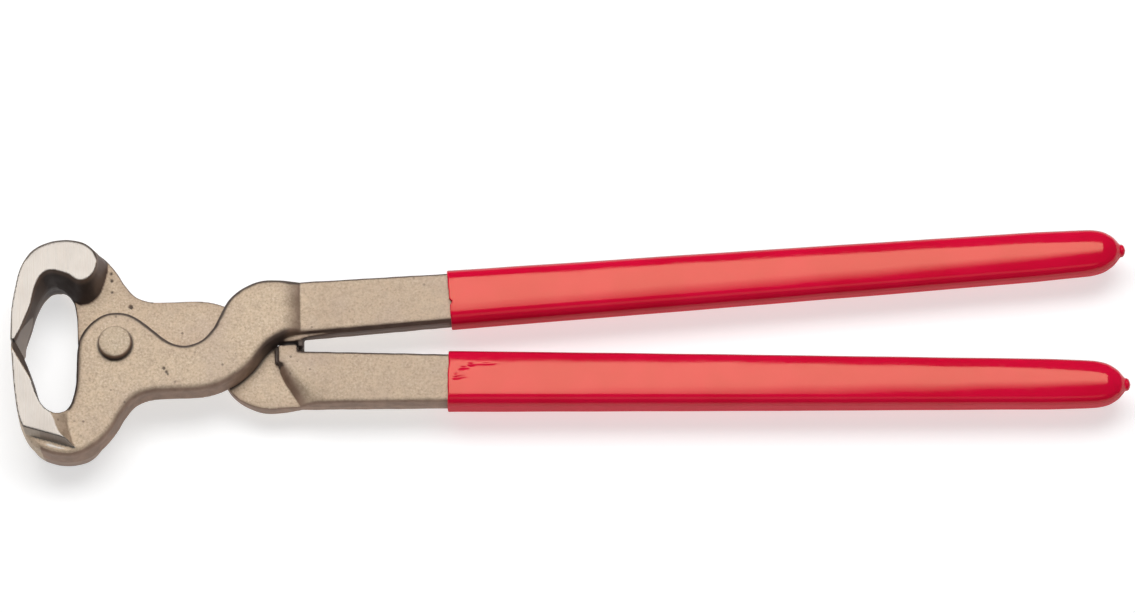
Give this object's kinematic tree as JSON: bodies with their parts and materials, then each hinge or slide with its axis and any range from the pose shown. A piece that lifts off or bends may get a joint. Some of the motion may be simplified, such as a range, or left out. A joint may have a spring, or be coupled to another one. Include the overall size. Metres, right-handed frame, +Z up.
{
  "type": "hoof nipper",
  "caption": "Farrier's hoof nipper lying closed on its side: lap-jointed forged levers on a riveted pivot, broad curved cutting jaws and dipped vinyl grips.",
  "frame": {"origin": "centre of the closed tool's bounding box in plan, on the surface that the jaws' side faces lie on", "axes": "+X along the tool from the jaws to the handle ends, +Z up out of the surface along the pivot axis, +Y towards the top lever's handle"},
  "size_m": [0.381, 0.0756, 0.025],
  "materials": {
    "forged_steel": "blasted forging, with ground jaws",
    "rivet_steel": "blasted",
    "red_vinyl": "glossy dipped vinyl"
  },
  "bodies": {
    "bottom_lever": {"bottom_lever_forging": "forged_steel", "pivot_rivet": "rivet_steel", "bottom_lever_grip": "red_vinyl"},
    "top_lever": {"top_lever_forging": "forged_steel", "top_lever_grip": "red_vinyl"}
  },
  "joints": [
    {"name": "pivot", "type": "hinge", "parent": "bottom_lever", "child": "top_lever", "pos_m": [-0.15544, 0, 0.0125], "axis": [0, 0, 1], "range_deg": [0, 60]}
  ]
}
